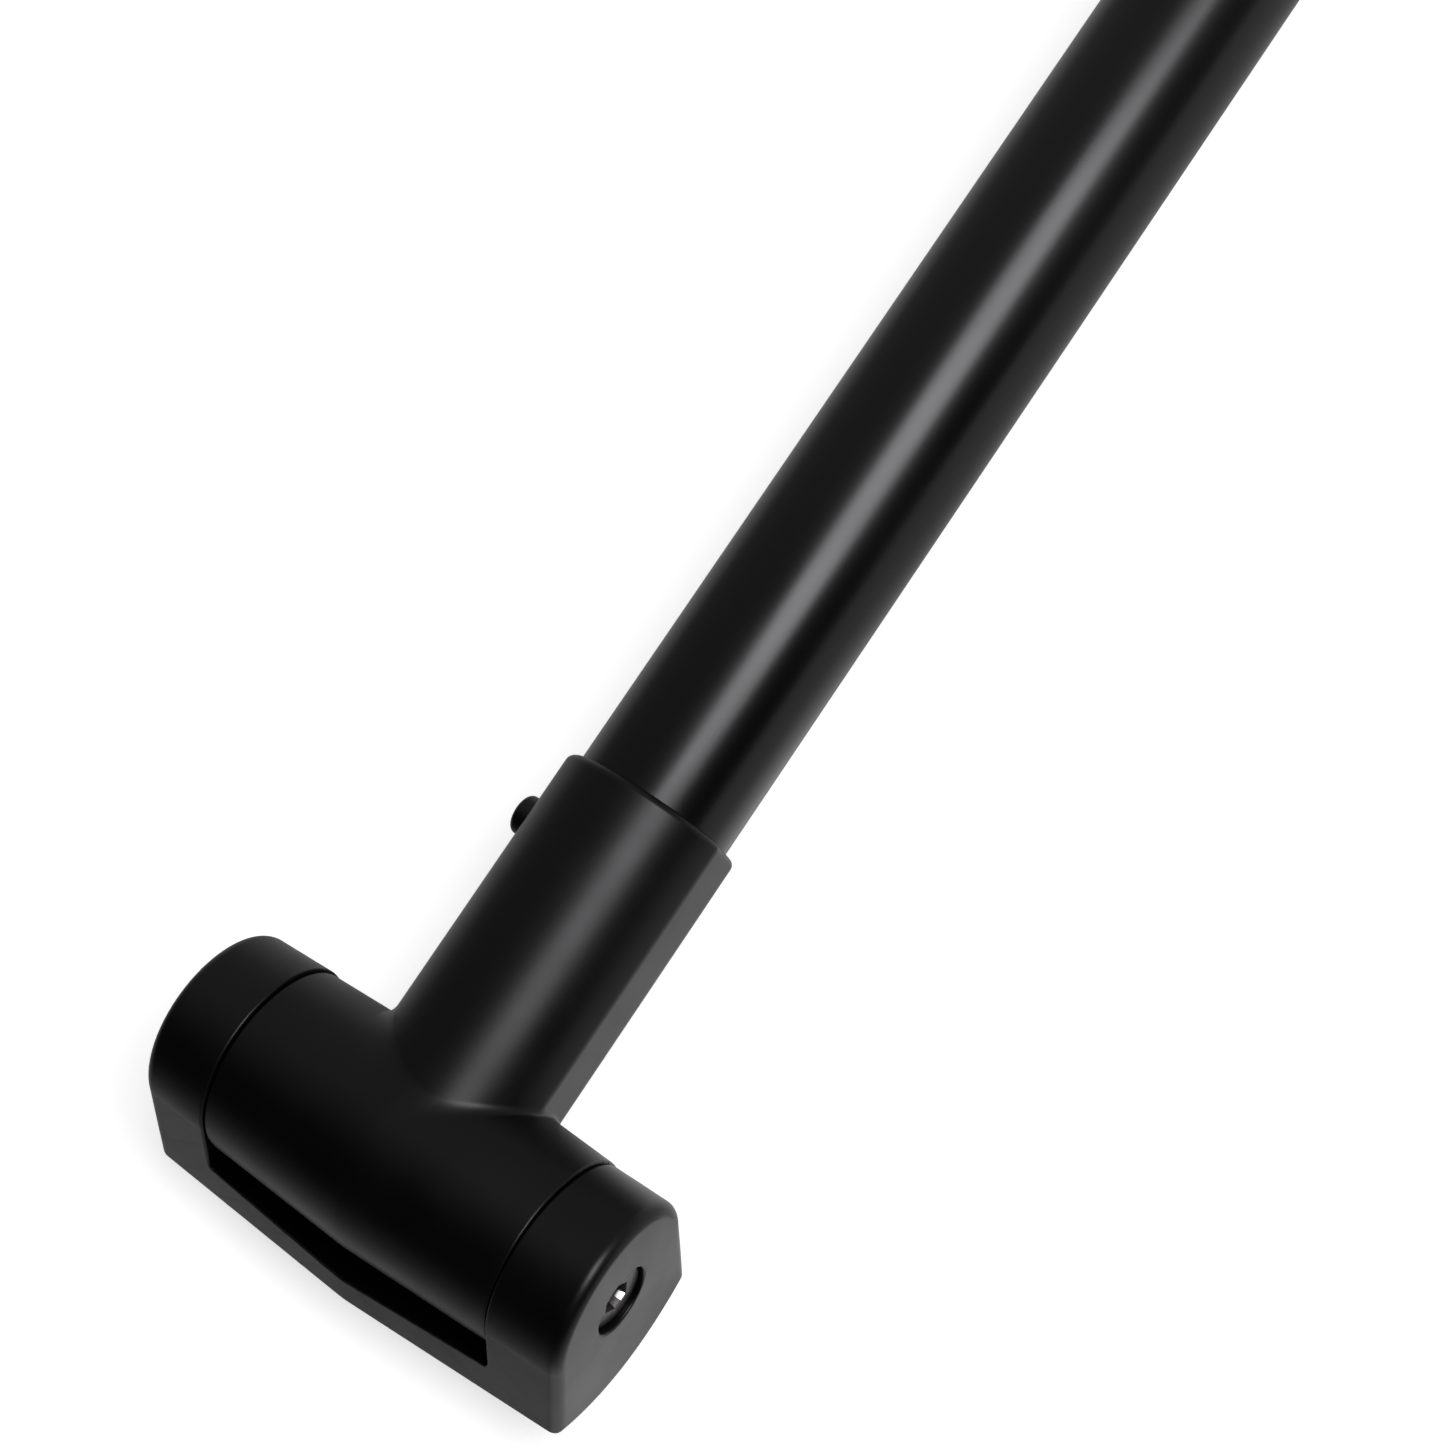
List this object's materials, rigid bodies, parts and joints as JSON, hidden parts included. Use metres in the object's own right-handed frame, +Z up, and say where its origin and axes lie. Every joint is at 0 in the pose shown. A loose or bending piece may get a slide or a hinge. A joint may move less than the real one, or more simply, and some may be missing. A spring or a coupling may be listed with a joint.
{
  "type": "bed cargo bar",
  "caption": "Telescoping black tube cargo bar with a twist lock and a pivoting T foot with a rubber pad at each end, for bracing a load across a truck bed.",
  "frame": {"origin": "on the floor under the bar's middle: centre of the bounding box's underside, with the bar at its middle length", "axes": "+X along the bar towards the sliding end, +Y across the bar along the feet, +Z up, away from the face the feet lean to"},
  "size_m": [1.469, 0.1182, 0.0625],
  "materials": {
    "black_casting": "satin black powder coat on a casting",
    "black_tube": "satin black coat on drawn tube",
    "black_anodised": "black anodised, lightly slide-marked",
    "black_plastic": "fine moulded texture",
    "pad_rubber": "matte",
    "white_nylon": "natural nylon",
    "zinc_steel": "bright zinc plate",
    "black_button": "black oxide steel",
    "spring_steel": "oiled spring steel"
  },
  "bodies": {
    "bar_outer": {"outer_tube": "black_tube", "head_near": "black_casting", "pivot_bush_left_near": "white_nylon", "pivot_bush_right_near": "white_nylon", "lock_collet": "black_plastic"},
    "foot_near": {"foot_yoke_near": "black_casting", "foot_pad_near": "pad_rubber", "pivot_bolt_near": "zinc_steel", "pivot_nut_near": "zinc_steel", "pivot_washer_head_near": "zinc_steel", "pivot_washer_nut_near": "zinc_steel"},
    "button_near": {"snap_button_near": "black_button", "button_spring_near": "spring_steel"},
    "bar_inner": {"inner_tube": "black_anodised", "adapter_sleeve": "black_plastic", "head_far": "black_casting", "pivot_bush_left_far": "white_nylon", "pivot_bush_right_far": "white_nylon", "slide_bush": "black_plastic"},
    "foot_far": {"foot_yoke_far": "black_casting", "foot_pad_far": "pad_rubber", "pivot_bolt_far": "zinc_steel", "pivot_nut_far": "zinc_steel", "pivot_washer_head_far": "zinc_steel", "pivot_washer_nut_far": "zinc_steel"},
    "button_far": {"snap_button_far": "black_button", "button_spring_far": "spring_steel"},
    "lock": {"lock_sleeve": "black_plastic"}
  },
  "joints": [
    {"name": "foot_near_pivot", "type": "hinge", "parent": "bar_outer", "child": "foot_near", "pos_m": [-0.7, 0.0015, 0.03694], "axis": [0, 1, 0], "range_deg": [-8, 142]},
    {"name": "foot_far_pivot", "type": "hinge", "parent": "bar_inner", "child": "foot_far", "pos_m": [0.7, -0.0015, 0.03694], "axis": [0, -1, 0], "range_deg": [-8, 142]},
    {"name": "length_slide", "type": "slide", "parent": "bar_outer", "child": "bar_inner", "axis": [1, 0, 0], "range_m": [-0.2, 0.18]},
    {"name": "lock_twist", "type": "hinge", "parent": "bar_outer", "child": "lock", "pos_m": [0.06, 0, 0.03694], "axis": [1, 0, 0], "range_deg": [0, 120]},
    {"name": "button_near_press", "type": "slide", "parent": "bar_outer", "child": "button_near", "axis": [0, -1, 0], "range_m": [0, 0.0066], "stiffness_N_per_m": 1200, "springref_m": -0.002},
    {"name": "button_far_press", "type": "slide", "parent": "bar_inner", "child": "button_far", "axis": [0, 1, 0], "range_m": [0, 0.0066], "stiffness_N_per_m": 1200, "springref_m": -0.002}
  ]
}
